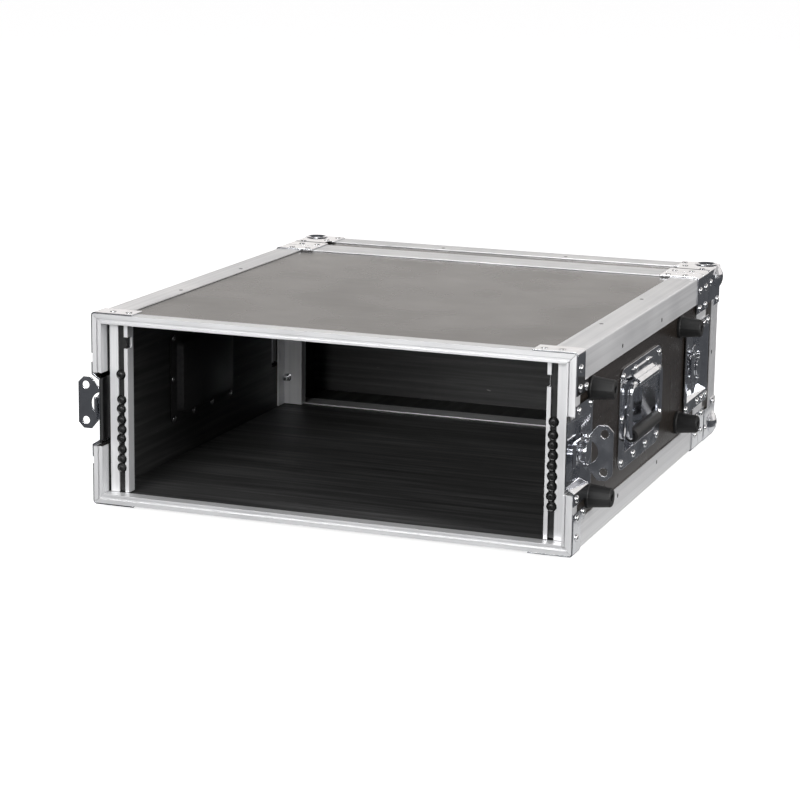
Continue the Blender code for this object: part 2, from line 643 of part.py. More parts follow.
def build_handle_dish(parts, cutters):
    """Flanged recess with the rolled strap that the bail turns in."""
    face_x = HALF_WIDTH
    plate = rounded_rectangle(HANDLE_HALF_LENGTH, HANDLE_HALF_HEIGHT, HANDLE_R, 6, centre=(HANDLE_Y, HANDLE_Z))
    dish = outline_solid("handle_dish_right", [plate], "x", face_x - SKIN, face_x, parts)

    def tray(label, thickness, near, far):
        def span(draft):
            half_y = RECESS_HALF_LENGTH + thickness - draft
            half_z = RECESS_HALF_HEIGHT + thickness - draft
            return (HANDLE_Y - half_y, HANDLE_Y + half_y), (HANDLE_Z - half_z, HANDLE_Z + half_z)
        return frustum(label, near, far, span(0.0), span(RECESS_DRAFT), RECESS_R, cutters)

    combine(dish, tray("outside", SKIN, face_x - SKIN * 0.5, RECESS_FLOOR - SKIN), "UNION")
    combine(dish, tray("inside", 0.0, face_x + MM, RECESS_FLOOR), "DIFFERENCE")

    centre = (PIVOT_X, PIVOT_Z)
    sheet_x = face_x + 1.4 * MM
    strap = [(face_x - 0.5 * MM, PIVOT_Z + STRAP_TOP), (sheet_x, PIVOT_Z + STRAP_TOP), (sheet_x, PIVOT_Z + 7.5 * MM)]
    strap += arc(centre, STRAP_R, 90, -100, 10)
    strap += arc(centre, ROD_R + 0.4 * MM, -100, 90, 10)
    strap += [(face_x - 0.5 * MM, PIVOT_Z + 6.6 * MM)]
    low_y, high_y = HANDLE_Y - STRAP_HALF, HANDLE_Y + STRAP_HALF
    combine(dish, outline_solid("strap", [strap], "y", low_y, high_y, cutters), "UNION")
    finish(dish, "chrome", smooth=True)


def build_bail(parts):
    """A closed loop of round bar, pivoting on its upper run and hanging down at rest."""
    half_z = BAIL_DROP / 2
    path = rounded_rectangle(BAIL_HALF, half_z, BAIL_CORNER_R, 5, centre=(HANDLE_Y, PIVOT_Z - half_z))
    name = "handle_bail_right"
    curve = bpy.data.curves.new(name, "CURVE")
    curve.dimensions = "3D"
    curve.bevel_depth = ROD_R
    curve.bevel_resolution = 3
    spline = curve.splines.new("POLY")
    spline.points.add(len(path) - 1)
    for point, (y, z) in zip(spline.points, path):
        point.co = (PIVOT_X, y, z, 1.0)
    spline.use_cyclic_u = True
    bail = curve_to_mesh(new_object(name + "_guide", curve, parts), name, parts)
    finish(bail, "chrome", smooth=True)
    set_origin(bail, (PIVOT_X, HANDLE_Y, PIVOT_Z))


def build_grip(parts, cutters):
    centre = (PIVOT_X, PIVOT_Z - BAIL_DROP)
    span = (HANDLE_Y - GRIP_HALF, HANDLE_Y + GRIP_HALF)
    grip = cylinder("handle_grip_right", GRIP_R, *span, "y", centre, 24, parts)
    bm = bmesh.new()
    bm.from_mesh(grip.data)
    rims = [edge for edge in bm.edges if abs(edge.verts[0].co.y - edge.verts[1].co.y) < 0.01 * MM]
    bmesh.ops.bevel(bm, geom=rims, offset=1.2 * MM, segments=2, affect="EDGES", profile=0.5)
    bm.to_mesh(grip.data)
    bm.free()
    bore = cylinder("bore", ROD_R + GAP, span[0] - MM, span[1] + MM, "y", centre, 16, cutters)
    combine(grip, bore, "DIFFERENCE")
    finish(grip, "black_rubber", smooth=True)
    set_origin(grip, (PIVOT_X, HANDLE_Y, PIVOT_Z))


# ---------------------------------------------------------------- feet

def build_feet(parts):
    """Conical rubber feet, turned about the x axis, each with a sunk screw hole in its tip."""
    profile = [(0.0, FOOT_LENGTH - FOOT_HOLE_DEPTH), (FOOT_HOLE_R, FOOT_LENGTH - FOOT_HOLE_DEPTH),
               (FOOT_HOLE_R, FOOT_LENGTH - 0.6 * MM), (FOOT_HOLE_R + 0.6 * MM, FOOT_LENGTH),
               (FOOT_TIP_R - 1.2 * MM, FOOT_LENGTH), (FOOT_TIP_R, FOOT_LENGTH - 1.2 * MM),
               (FOOT_BASE_R - 1.0 * MM, 3.4 * MM), (FOOT_BASE_R, 2.4 * MM), (FOOT_BASE_R, 0.0), (0.0, 0.0)]
    for end_name, depth in zip(("front", "rear"), FOOT_DEPTHS):
        for level, height in zip(("lower", "upper"), FOOT_HEIGHTS):
            name = "foot_" + end_name + "_" + level
            bm = bmesh.new()
            verts = [bm.verts.new((radius, 0.0, z)) for radius, z in profile]
            for one, two in zip(verts, verts[1:]):
                bm.edges.new((one, two))
            mesh = bpy.data.meshes.new(name)
            bm.to_mesh(mesh)
            bm.free()
            foot = new_object(name, mesh, parts)
            screw = foot.modifiers.new("turn", "SCREW")
            screw.steps = 20
            screw.render_steps = 20
            screw.use_merge_vertices = True
            screw.merge_threshold = 0.00005
            apply_modifiers(foot)
            foot.data.transform(Matrix.Rotation(math.radians(90), 4, "Y"))
            foot.location = (HALF_WIDTH - BOARD_OUT + GAP, FRONT + depth, BASE + height)
            finish(foot, "black_rubber", smooth=True)


# ---------------------------------------------------------------- rear lid

def build_lid_boards(parts, cutters):
    back_end = REAR - SKIN - GAP
    back_start = back_end - BOARD
    rim = ring("lid_rim", BOARD_OUT, BOARD_IN, JOINT + GAP + WEB + GAP, back_start - GAP, parts)
    clear = DISH_HALF + SKIN + GAP
    for sign in (1, -1):
        x_range = (sign * (HALF_WIDTH - 20 * MM), sign * (HALF_WIDTH + 5 * MM))
        y_range = (JOINT - 5 * MM, JOINT + KEEPER_DISH[0] + SKIN + GAP)
        combine(rim, box("notch", x_range, y_range, (LATCH_Z - clear, LATCH_Z + clear), cutters), "DIFFERENCE")
    finish(rim, "board_outside")
    half_x = HALF_WIDTH - BOARD_OUT
    half_z = BODY_HEIGHT / 2 - BOARD_OUT
    z_range = (MIDDLE - half_z, MIDDLE + half_z)
    finish(box("lid_back_panel", (-half_x, half_x), (back_start, back_end), z_range, parts), "board_outside")


def build_lid_frame(parts, cutters):
    edge = JOINT + GAP
    body = frame_ring("lid_frame", edge, 1, LID_LEG, parts, cutters)
    tongue = ring("tongue", GROOVE_OUT + GAP, GROOVE_IN - GAP, edge - 2.0 * MM, edge + MM, cutters)
    combine(body, tongue, "UNION")
    cut_latch_notches(body, edge, 1, LID_LEG + 5 * MM, cutters)
    finish(body, "aluminium", smooth=True)


def build_lid_edge_angle(parts, cutters):
    """The mitred angle round the rear edges of the lid."""
    body = ring("lid_edge_angle", 0.0, SKIN, REAR - ANGLE_LEG, REAR - 0.4 * SKIN, parts)
    combine(body, ring("flange", 0.0, ANGLE_LEG, REAR - SKIN, REAR, cutters), "UNION")
    finish(body, "aluminium", smooth=True)


def build_ball_corners(parts, cutters):
    """Stackable ball corners: three legs along the edges and a ball, dimpled on top of the upper ones."""
    stand_off = GAP + SKIN
    lengths = (BALL_LEG, BALL_LONG_LEG, BALL_LEG)
    for level, level_sign in LEVELS.items():
        signs = (1, 1, level_sign)
        corner = (HALF_WIDTH, REAR, MIDDLE + level_sign * BODY_HEIGHT / 2)

        def block(label, ranges, collection, bevel=0.0):
            """A box given by its distances inwards from the corner along x, y and z."""
            sides = [sorted(corner[i] - signs[i] * depth for depth in ranges[i]) for i in range(3)]
            low, high = zip(*sides)
            return mesh_object(label, box_mesh(low, high, bevel, 2), collection)

        body = block("ball_corner_" + level + "_right", [(-stand_off, length) for length in lengths], parts, 2.0 * MM)
        for axis, notch in enumerate(BALL_NOTCHES):
            ranges = [(depth, 0.1) for depth in notch]
            ranges[axis] = (-0.02, 0.1)
            combine(body, block("beside_legs", ranges, cutters), "DIFFERENCE")

        out = BALL_DROP if level_sign < 0 else BALL_OUT
        centre = Vector((corner[0] + BALL_OUT - BALL_R, corner[1] + BALL_OUT - BALL_R,
                         corner[2] + level_sign * (out - BALL_R)))
        bm = bmesh.new()
        bmesh.ops.create_uvsphere(bm, u_segments=28, v_segments=16, radius=BALL_R)
        bmesh.ops.translate(bm, vec=centre, verts=bm.verts)
        combine(body, mesh_object("ball", bm, cutters), "UNION")
        combine(body, block("case", [(-GAP, 0.1)] * 3, cutters), "DIFFERENCE")
        if level_sign > 0:
            flat = TOP + BALL_TOP_OUT
            crop = box("crop", (HALF_WIDTH - 0.1, HALF_WIDTH + 0.1), (REAR - 0.1, REAR + 0.1),
                       (flat, flat + 0.05), cutters)
            combine(body, crop, "DIFFERENCE")
            rise = math.sqrt(DIMPLE_SPHERE_R ** 2 - DIMPLE_R ** 2)
            bm = bmesh.new()
            bmesh.ops.create_uvsphere(bm, u_segments=28, v_segments=44, radius=DIMPLE_SPHERE_R)
            bmesh.ops.translate(bm, vec=(centre.x, centre.y, flat + rise), verts=bm.verts)
            combine(body, mesh_object("dimple", bm, cutters), "DIFFERENCE")
        finish(body, "chrome", smooth=True)


# ---------------------------------------------------------------- assembly

def mirror_to_left(parts):
    for obj in [obj for obj in parts.objects if "right" in obj.name]:
        flip = Matrix.Diagonal((-1.0, 1.0, 1.0, 1.0))
        mirrored_twin(obj, obj.name.replace("right", "left"), flip, parts)


def main():
    clear_scene()
    parts = make_collection("equipment_rack_case")
    cutters = make_collection("cutters")
    build_side_board(parts, cutters)
    build_front_frame(parts, cutters)
    build_edge_angles(parts)
    build_front_braces(parts, cutters)
    build_rack_rails(parts, cutters)
    build_latches(parts, cutters)
    build_keeper(parts, cutters)
    build_handle_dish(parts, cutters)
    build_bail(parts)
    build_grip(parts, cutters)
    build_ball_corners(parts, cutters)
    mirror_to_left(parts)
    clear_the_feet(parts.objects["latch_dish_front_right"], FOOT_DEPTHS[0], cutters)
    build_feet(parts)
    build_flat_boards(parts)
    build_rear_frame(parts, cutters)
    build_lid_boards(parts, cutters)
    build_lid_frame(parts, cutters)
    build_lid_edge_angle(parts, cutters)


main()
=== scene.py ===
import math

import bmesh
import bpy
from mathutils import Matrix, Vector


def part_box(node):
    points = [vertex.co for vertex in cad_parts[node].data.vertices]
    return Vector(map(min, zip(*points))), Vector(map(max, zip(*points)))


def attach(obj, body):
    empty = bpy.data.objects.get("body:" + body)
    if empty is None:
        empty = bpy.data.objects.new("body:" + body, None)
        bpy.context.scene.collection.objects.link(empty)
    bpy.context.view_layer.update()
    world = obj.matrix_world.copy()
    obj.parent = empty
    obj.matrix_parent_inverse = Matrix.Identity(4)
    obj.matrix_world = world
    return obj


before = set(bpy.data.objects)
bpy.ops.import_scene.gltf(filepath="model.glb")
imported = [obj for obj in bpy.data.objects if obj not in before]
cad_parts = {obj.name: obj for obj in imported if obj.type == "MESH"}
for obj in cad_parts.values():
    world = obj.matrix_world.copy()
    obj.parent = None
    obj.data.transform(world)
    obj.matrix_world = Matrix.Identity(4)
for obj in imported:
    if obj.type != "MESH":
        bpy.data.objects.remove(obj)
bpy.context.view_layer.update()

MM = 0.001
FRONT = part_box("front_frame_top")[0].y
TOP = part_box("front_frame_top")[1].z
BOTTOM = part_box("front_frame_bottom")[0].z
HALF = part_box("front_frame_right_upper")[1].x
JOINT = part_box("rear_frame_upper")[1].y
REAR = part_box("lid_edge_angle")[1].y
MIDDLE = (TOP + BOTTOM) / 2
HALF_HEIGHT = (TOP - BOTTOM) / 2
BRACE_FACE = 1.5 * MM            # outer face of the corner braces above the aluminium
RACK_COLUMN = 232.5 * MM         # screw column of a 19-inch rack, from the middle
SIDES = {"right": 1, "left": -1}
LEVELS = {"top": 1, "bottom": -1}


# ---------------------------------------------------------------- materials

def new_material(name):
    material = bpy.data.materials.new(name)
    material.use_nodes = True
    nodes = material.node_tree.nodes
    return material, nodes, material.node_tree.links, nodes["Principled BSDF"]


def stretched_noise(nodes, links, scale, detail=3.0, roughness=0.55):
    """Noise over the piece's own coordinates in metres, with a scale for each axis."""
    coord = nodes.new("ShaderNodeTexCoord")
    mapping = nodes.new("ShaderNodeMapping")
    mapping.inputs["Scale"].default_value = scale
    noise = nodes.new("ShaderNodeTexNoise")
    noise.inputs["Scale"].default_value = 1.0
    noise.inputs["Detail"].default_value = detail
    noise.inputs["Roughness"].default_value = roughness
    links.new(coord.outputs["Object"], mapping.inputs["Vector"])
    links.new(mapping.outputs["Vector"], noise.inputs["Vector"])
    return noise


def ramp(nodes, links, source, stops):
    node = nodes.new("ShaderNodeValToRGB")
    elements = node.color_ramp.elements
    while len(elements) < len(stops):
        elements.new(0.5)
    for element, (position, colour) in zip(elements, stops):
        element.position = position
        element.color = (*colour, 1.0)
    links.new(source, node.inputs["Fac"])
    return node


def product(nodes, links, first, second):
    node = nodes.new("ShaderNodeMath")
    node.operation = "MULTIPLY"
    links.new(first, node.inputs[0])
    links.new(second, node.inputs[1])
    return node.outputs[0]


def object_position(nodes, links):
    """The x, y and z sockets of a point on the piece, in metres."""
    coord = nodes.new("ShaderNodeTexCoord")
    split = nodes.new("ShaderNodeSeparateXYZ")
    links.new(coord.outputs["Object"], split.inputs[0])
    return split.outputs


def map_range(nodes, links, source, low, high, from_low=0.0, from_high=1.0):
    node = nodes.new("ShaderNodeMapRange")
    node.inputs["From Min"].default_value = from_low
    node.inputs["From Max"].default_value = from_high
    node.inputs["To Min"].default_value = low
    node.inputs["To Max"].default_value = high
    links.new(source, node.inputs["Value"])
    return node.outputs["Result"]


def add_bump(nodes, links, shader, sources, worn_edge=0.0):
    """Bumps in series; each source is (height socket, strength, distance in metres). A worn edge rounds
    the light off at the corners of the sheet, over that many metres."""
    previous = None
    if worn_edge:
        rounded = nodes.new("ShaderNodeBevel")
        rounded.samples = 4
        rounded.inputs["Radius"].default_value = worn_edge
        previous = rounded.outputs["Normal"]
    for height, strength, distance in sources:
        bump = nodes.new("ShaderNodeBump")
        bump.inputs["Strength"].default_value = strength
        bump.inputs["Distance"].default_value = distance
        links.new(height, bump.inputs["Height"])
        if previous:
            links.new(previous, bump.inputs["Normal"])
        previous = bump.outputs["Normal"]
    links.new(previous, shader.inputs["Normal"])


def grain_scale(axis, along, across):
    scale = [across] * 3
    scale["xyz".index(axis)] = along
    return scale


def extruded_aluminium(name, axis, shade=1.0):
    """Satin extrusion with fine die lines along its length, faint handling marks and dulled patches."""
    material, nodes, links, shader = new_material(name)
    lines = stretched_noise(nodes, links, grain_scale(axis, 2.0, 1500.0), 2.0)
    broad = stretched_noise(nodes, links, grain_scale(axis, 1.2, 170.0), 2.0)
    patches = stretched_noise(nodes, links, (14.0, 14.0, 14.0), 4.0)
    mixed = nodes.new("ShaderNodeMath")
    mixed.operation = "ADD"
    links.new(map_range(nodes, links, lines.outputs["Fac"], 0.0, 0.4, 0.3, 0.7), mixed.inputs[0])
    links.new(map_range(nodes, links, broad.outputs["Fac"], 0.0, 0.6, 0.3, 0.7), mixed.inputs[1])
    # A shade above 1 lightens the whole piece: painted light.
    low, high = 0.68 * shade, 0.84 * shade
    colour = ramp(nodes, links, mixed.outputs[0],
                  [(0.1, (low, low, low * 1.012)), (0.9, (high, high, high * 1.008))])
    links.new(colour.outputs["Color"], shader.inputs["Base Color"])
    rough = map_range(nodes, links, patches.outputs["Fac"], 0.34, 0.5, 0.3, 0.7)
    links.new(rough, shader.inputs["Roughness"])
    shader.inputs["Metallic"].default_value = 0.45
    sources = [(lines.outputs["Fac"], 0.10, 0.0001), (broad.outputs["Fac"], 0.08, 0.0002)]
    add_bump(nodes, links, shader, sources, 0.0004)
    return material


def chromed_steel(name, base=(0.78, 0.79, 0.82), low=0.07, high=0.2, painted_shade_back=0.0):
    """Bright plating over pressed steel, smudged, with hairline scratches. Closer to the middle of the case
    than the last argument's x, the colour turns near black: painted shade on the backs of the dishes, for
    the dark interior they reflect."""
    material, nodes, links, shader = new_material(name)
    smudge = stretched_noise(nodes, links, (55.0, 55.0, 55.0), 5.0, 0.6)
    wave = stretched_noise(nodes, links, (38.0, 38.0, 38.0), 1.0)
    hairs = stretched_noise(nodes, links, (260.0, 2600.0, 900.0), 2.0)
    dull = [channel * 0.86 for channel in base]
    colour = ramp(nodes, links, smudge.outputs["Fac"], [(0.3, dull), (0.62, base)])
    links.new(colour.outputs["Color"], shader.inputs["Base Color"])
    if painted_shade_back:
        # Painted shade: behind the given x the base colour is mixed to near black, standing for the dark
        # interior the dish backs reflect.
        behind = nodes.new("ShaderNodeMath")
        behind.operation = "COMPARE"
        behind.inputs[1].default_value = 0.0
        behind.inputs[2].default_value = painted_shade_back
        links.new(object_position(nodes, links)["X"], behind.inputs[0])
        plating_or_painted_shade = nodes.new("ShaderNodeMix")
        plating_or_painted_shade.data_type = "RGBA"
        plating_or_painted_shade.inputs["B"].default_value = (0.035, 0.035, 0.036, 1.0)
        links.new(behind.outputs[0], plating_or_painted_shade.inputs["Factor"])
        links.new(colour.outputs["Color"], plating_or_painted_shade.inputs["A"])
        links.new(plating_or_painted_shade.outputs["Result"], shader.inputs["Base Color"])
    rough = map_range(nodes, links, smudge.outputs["Fac"], low, high, 0.35, 0.75)
    links.new(rough, shader.inputs["Roughness"])
    shader.inputs["Metallic"].default_value = 1.0
    sources = [(wave.outputs["Fac"], 0.13, 0.0015), (hairs.outputs["Fac"], 0.03, 0.0001)]
    add_bump(nodes, links, shader, sources, 0.0007)
    return material


def laminated_board(name, axis, inside_low, inside_high, painted_light_gain=1.0):
    """Dark phenolic film on plywood. Between inside_low and inside_high it is a black stain, with the grain
    showing; a gain above 1 lightens the stain as painted light."""
    material, nodes, links, shader = new_material(name)
    grain = stretched_noise(nodes, links, grain_scale(axis, 5.0, 160.0), 6.0, 0.62)
    pores = stretched_noise(nodes, links, grain_scale(axis, 60.0, 1400.0), 2.0)
    cloud = stretched_noise(nodes, links, (9.0, 9.0, 9.0), 3.0)
    film = ramp(nodes, links, grain.outputs["Fac"],
                [(0.3, (0.020, 0.0155, 0.0125)), (0.7, (0.036, 0.029, 0.024))])
    # The stain's brightness is multiplied by the gain: above 1 this is painted light.
    stain = ramp(nodes, links, grain.outputs["Fac"],
                 [(0.32, (0.010 * painted_light_gain,) * 3), (0.5, (0.026 * painted_light_gain,) * 3), (0.7, (0.062 * painted_light_gain,) * 3)])
    inside = None
    for socket, low, high in zip(object_position(nodes, links), inside_low, inside_high):
        for bound, operation in ((low, "GREATER_THAN"), (high, "LESS_THAN")):
            test = nodes.new("ShaderNodeMath")
            test.operation = operation
            test.inputs[1].default_value = bound
            links.new(socket, test.inputs[0])
            inside = test.outputs[0] if inside is None else product(nodes, links, inside, test.outputs[0])
    specks = stretched_noise(nodes, links, grain_scale(axis, 70.0, 260.0), 1.0)
    scuffed = nodes.new("ShaderNodeMix")
    scuffed.data_type = "RGBA"
    scuffed.inputs["B"].default_value = (0.20, 0.195, 0.185, 1.0)
    speckled = map_range(nodes, links, specks.outputs["Fac"], 0.0, 1.0, 0.775, 0.83)
    links.new(speckled, scuffed.inputs["Factor"])
    links.new(stain.outputs["Color"], scuffed.inputs["A"])
    mix = nodes.new("ShaderNodeMix")
    mix.data_type = "RGBA"
    links.new(inside, mix.inputs["Factor"])
    links.new(film.outputs["Color"], mix.inputs["A"])
    links.new(scuffed.outputs["Result"], mix.inputs["B"])
    links.new(mix.outputs["Result"], shader.inputs["Base Color"])
    rough = nodes.new("ShaderNodeMath")
    rough.operation = "MULTIPLY_ADD"
    rough.inputs[1].default_value = 0.24
    links.new(inside, rough.inputs[0])
    links.new(map_range(nodes, links, cloud.outputs["Fac"], 0.24, 0.30, 0.3, 0.7), rough.inputs[2])
    links.new(rough.outputs[0], shader.inputs["Roughness"])
    sources = [(grain.outputs["Fac"], 0.12, 0.0004), (pores.outputs["Fac"], 0.10, 0.0002)]
    add_bump(nodes, links, shader, sources)
    return material


def moulded_rubber(name, base=0.007):
    material, nodes, links, shader = new_material(name)
    fine = stretched_noise(nodes, links, (900.0, 900.0, 900.0), 3.0)
    dust = stretched_noise(nodes, links, (45.0, 45.0, 45.0), 4.0)
    colour = ramp(nodes, links, dust.outputs["Fac"], [(0.35, (base,) * 3), (0.75, (base * 2.2,) * 3)])
    links.new(colour.outputs["Color"], shader.inputs["Base Color"])
    links.new(map_range(nodes, links, dust.outputs["Fac"], 0.5, 0.68), shader.inputs["Roughness"])
    add_bump(nodes, links, shader, [(fine.outputs["Fac"], 0.25, 0.0002)])
    return material


def black_metal(name, base=0.014, rough=(0.28, 0.42), worn_edge=0.0):
    material, nodes, links, shader = new_material(name)
    patch = stretched_noise(nodes, links, (220.0, 220.0, 220.0), 3.0)
    colour = ramp(nodes, links, patch.outputs["Fac"], [(0.3, (base,) * 3), (0.75, (base * 1.9,) * 3)])
    links.new(colour.outputs["Color"], shader.inputs["Base Color"])
    links.new(map_range(nodes, links, patch.outputs["Fac"], *rough), shader.inputs["Roughness"])
    shader.inputs["Metallic"].default_value = 0.25
    add_bump(nodes, links, shader, [(patch.outputs["Fac"], 0.06, 0.0002)], worn_edge)
    return material


ALUMINIUM = {axis: extruded_aluminium("aluminium_" + axis, axis) for axis in "xyz"}
# The rear rails are a copy 1.17 times lighter: painted light for the light that reaches them through the
# open front.
REAR_RAIL_PAINTED_LIGHT = extruded_aluminium("rear_rail_aluminium_painted_light", "z", 1.17)
CHROME = chromed_steel("chrome")
# The dishes' backs inside the case are coloured near black: painted shade.
DISH_CHROME_SHADED_BACK = chromed_steel("dish_chrome_painted_shade_back", painted_shade_back=0.2503)
RIVET_STEEL = chromed_steel("rivet_steel", (0.86, 0.86, 0.87), 0.12, 0.26)
RUBBER = moulded_rubber("rubber")
BLACK_STEEL = black_metal("black_steel")
COVER_BLACK = black_metal("cover_black", 0.022, (0.34, 0.48), 0.0012)
CUP_BLACK = black_metal("cup_black", 0.008, (0.16, 0.26))


# ---------------------------------------------------------------- mesh helpers

def facing(point, normal, spin=0.0):
    turn = Vector(normal).to_track_quat("Z", "Y").to_matrix().to_4x4()
    return Matrix.Translation(Vector(point)) @ turn @ Matrix.Rotation(spin, 4, "Z")


def add_turned(bm, profile, place, steps=20, crossed=()):
    """A turned solid; profile is (radius, height) in mm, from the axis at the base to the axis at the top.
    The rings numbered in crossed are drawn in to a four-pointed star, for a screw's recess."""
    rings = []
    for number, (radius, height) in enumerate(profile):
        if radius == 0:
            rings.append([bm.verts.new(place @ Vector((0.0, 0.0, height * MM)))])
            continue
        points = []
        for step in range(steps):
            angle = math.tau * step / steps
            reach = radius * MM
            if number in crossed and step % (steps // 4):
                reach *= 0.4
            point = Vector((reach * math.cos(angle), reach * math.sin(angle), height * MM))
            points.append(bm.verts.new(place @ point))
        rings.append(points)
    for lower, upper in zip(rings, rings[1:]):
        for step in range(steps):
            following = (step + 1) % steps
            corners = []
            for vert in (lower[step % len(lower)], lower[following % len(lower)],
                         upper[following % len(upper)], upper[step % len(upper)]):
                if vert not in corners:
                    corners.append(vert)
            bm.faces.new(corners)


def make_piece(name, bm, material, body, smooth=35.0, bevel=0.0):
    bmesh.ops.recalc_face_normals(bm, faces=bm.faces)
    mesh = bpy.data.meshes.new(name)
    bm.to_mesh(mesh)
    bm.free()
    mesh.materials.append(material)
    piece = bpy.data.objects.new(name, mesh)
    bpy.context.scene.collection.objects.link(piece)
    if bevel:
        modifier = piece.modifiers.new("edges", "BEVEL")
        modifier.width = bevel
        modifier.segments = 2
        modifier.limit_method = "ANGLE"
        modifier.angle_limit = math.radians(40)
    if smooth:
        mesh.shade_smooth()
        mesh.set_sharp_from_angle(angle=math.radians(smooth))
    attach(piece, body)
    return piece


def add_prism(bm, outline, axis, start, end):
    """A closed outline across one axis, extruded between two coordinates on it."""
    order = {"x": lambda u, v, w: (w, u, v),
             "y": lambda u, v, w: (u, w, v),
             "z": lambda u, v, w: (u, v, w)}[axis]
    near = [bm.verts.new(order(u, v, start)) for u, v in outline]
    far = [bm.verts.new(order(u, v, end)) for u, v in outline]
    bm.faces.new(near)
    bm.faces.new(list(reversed(far)))
    for index in range(len(outline)):
        after = (index + 1) % len(outline)
        bm.faces.new([near[index], near[after], far[after], far[index]])


def arc(centre, radius, start, end, steps):
    points = []
    for step in range(steps + 1):
        angle = math.radians(start + (end - start) * step / steps)
        points.append((centre[0] + radius * math.cos(angle), centre[1] + radius * math.sin(angle)))
    return points


def rounded_rectangle(centre, half_u, half_v, radius, steps=5):
    points = []
    for turn, (sign_u, sign_v) in enumerate(((1, 1), (-1, 1), (-1, -1), (1, -1))):
        corner = (centre[0] + sign_u * (half_u - radius), centre[1] + sign_v * (half_v - radius))
        points += arc(corner, radius, 90 * turn, 90 * turn + 90, steps)
    return points


def depth(millimetres):
    """A distance back from the open front, in mm, as a y coordinate."""
    return FRONT + millimetres * MM


def height(millimetres):
    """A height above the aluminium's underside, in mm, as a z coordinate."""
    return BOTTOM + millimetres * MM


# ---------------------------------------------------------------- rivets and screws

RIVET = [(0, -0.3), (4.0, -0.3), (4.0, 0.3), (3.75, 0.85), (3.15, 1.4), (2.3, 1.8), (1.2, 2.04), (0, 2.1)]
FLAT_RIVET = [(0, -0.3), (3.8, -0.3), (3.8, 0.12), (3.55, 0.4), (3.0, 0.66), (2.15, 0.84), (1.1, 0.94),
              (0, 0.97)]


def rivet_set(name, spots, body, profile=RIVET):
    """Domed rivets as one piece; spots are (point, outward normal)."""
    bm = bmesh.new()
    for point, normal in spots:
        add_turned(bm, profile, facing(point, normal), 20)
    return make_piece(name, bm, RIVET_STEEL, body, 60.0)


COUNTERSUNK = [(0, -0.6), (2.3, -0.6), (2.3, 0.06), (2.1, 0.14), (1.3, 0.16), (0.9, -0.4), (0, -0.5)]


def screw_set(name, spots, body):
    """Small dark countersunk screws with crossed recesses, as one piece."""
    bm = bmesh.new()
    for number, (point, normal) in enumerate(spots):
        add_turned(bm, COUNTERSUNK, facing(point, normal, 0.7 * number), 20, crossed=(4, 5))
    return make_piece(name, bm, BLACK_STEEL, body, 40.0)


def brace_outline(side, level):
    """Corner section 1.2 mm thick standing 0.3 mm off the aluminium, for one side and level."""
    wall, radius = 1.2 * MM, 3.5 * MM
    x_out = HALF + BRACE_FACE
    z_out = HALF_HEIGHT + BRACE_FACE
    profile = [(x_out, z_out - 43 * MM)]
    profile += arc((x_out - radius, z_out - radius), radius, 0, 90, 5)
    profile += [(x_out - 46 * MM, z_out), (x_out - 46 * MM, z_out - wall)]
    profile += arc((x_out - radius, z_out - radius), radius - wall, 90, 0, 5)
    profile += [(x_out - wall, z_out - 43 * MM)]
    return [(side * x, MIDDLE + level * z) for x, z in profile]


def build_rear_braces():
    rows = (("case", -25.7, -0.2, -17.0, -13.0), ("lid", 0.5, 26.0, 13.0, 13.0))
    for body, start, end, top_y, side_y in rows:
        for side_name, side in SIDES.items():
            for level_name, level in LEVELS.items():
                tag = body + "_" + level_name + "_" + side_name
                bm = bmesh.new()
                add_prism(bm, brace_outline(side, level), "y", JOINT + start * MM, JOINT + end * MM)
                make_piece("rear_brace_" + tag, bm, CHROME, body, 35.0, 0.25 * MM)
                flat = MIDDLE + level * (HALF_HEIGHT + BRACE_FACE)
                spots = [((side * x * MM, JOINT + top_y * MM, flat), (0, 0, level)) for x in (222, 242)]
                rivet_set("rear_brace_rivets_flat_" + tag, spots, body, FLAT_RIVET)
                face = side * (HALF + BRACE_FACE)
                spots = [((face, JOINT + side_y * MM, MIDDLE + level * z * MM), (side, 0, 0))
                         for z in (84.0, 63.5)]
                rivet_set("rear_brace_rivets_side_" + tag, spots, body)


def build_front_brace_rivets():
    for side_name, side in SIDES.items():
        for level_name, level in LEVELS.items():
            tag = level_name + "_" + side_name
            flat = MIDDLE + level * (HALF_HEIGHT + BRACE_FACE)
            spots = [((side * x * MM, depth(13), flat), (0, 0, level)) for x in (222, 240)]
            rivet_set("front_brace_rivets_flat_" + tag, spots, "case", FLAT_RIVET)
            face = side * (HALF + BRACE_FACE)
            spots = [((face, depth(y), MIDDLE + level * z * MM), (side, 0, 0))
                     for y, z in ((12.5, 84.0), (12.5, 64.5), (33.0, 62.5))]
            rivet_set("front_brace_rivets_side_" + tag, spots, "case")


def build_angle_screws():
    for side_name, side in SIDES.items():
        spots = []
        for y in (163, 320):
            for level in (1, -1):
                edge = MIDDLE + level * HALF_HEIGHT
                spots.append(((side * 235.5 * MM, depth(y + 1), edge), (0, 0, level)))
                spots.append(((side * HALF, depth(y + 3), MIDDLE + level * 78.5 * MM), (side, 0, 0)))
        screw_set("edge_angle_screws_" + side_name, spots, "case")
    spots = []
    for side in (1, -1):
        spots.append(((side * HALF, REAR - 22 * MM, MIDDLE), (side, 0, 0)))
        spots.append(((side * 243 * MM, REAR, MIDDLE), (0, 1, 0)))
        for level in (1, -1):
            edge = MIDDLE + level * HALF_HEIGHT
            spots.append(((side * 77 * MM, REAR - 21 * MM, edge), (0, 0, level)))
            spots.append(((side * 77 * MM, REAR, edge - level * 16 * MM), (0, 1, 0)))
    screw_set("lid_angle_screws", spots, "lid")


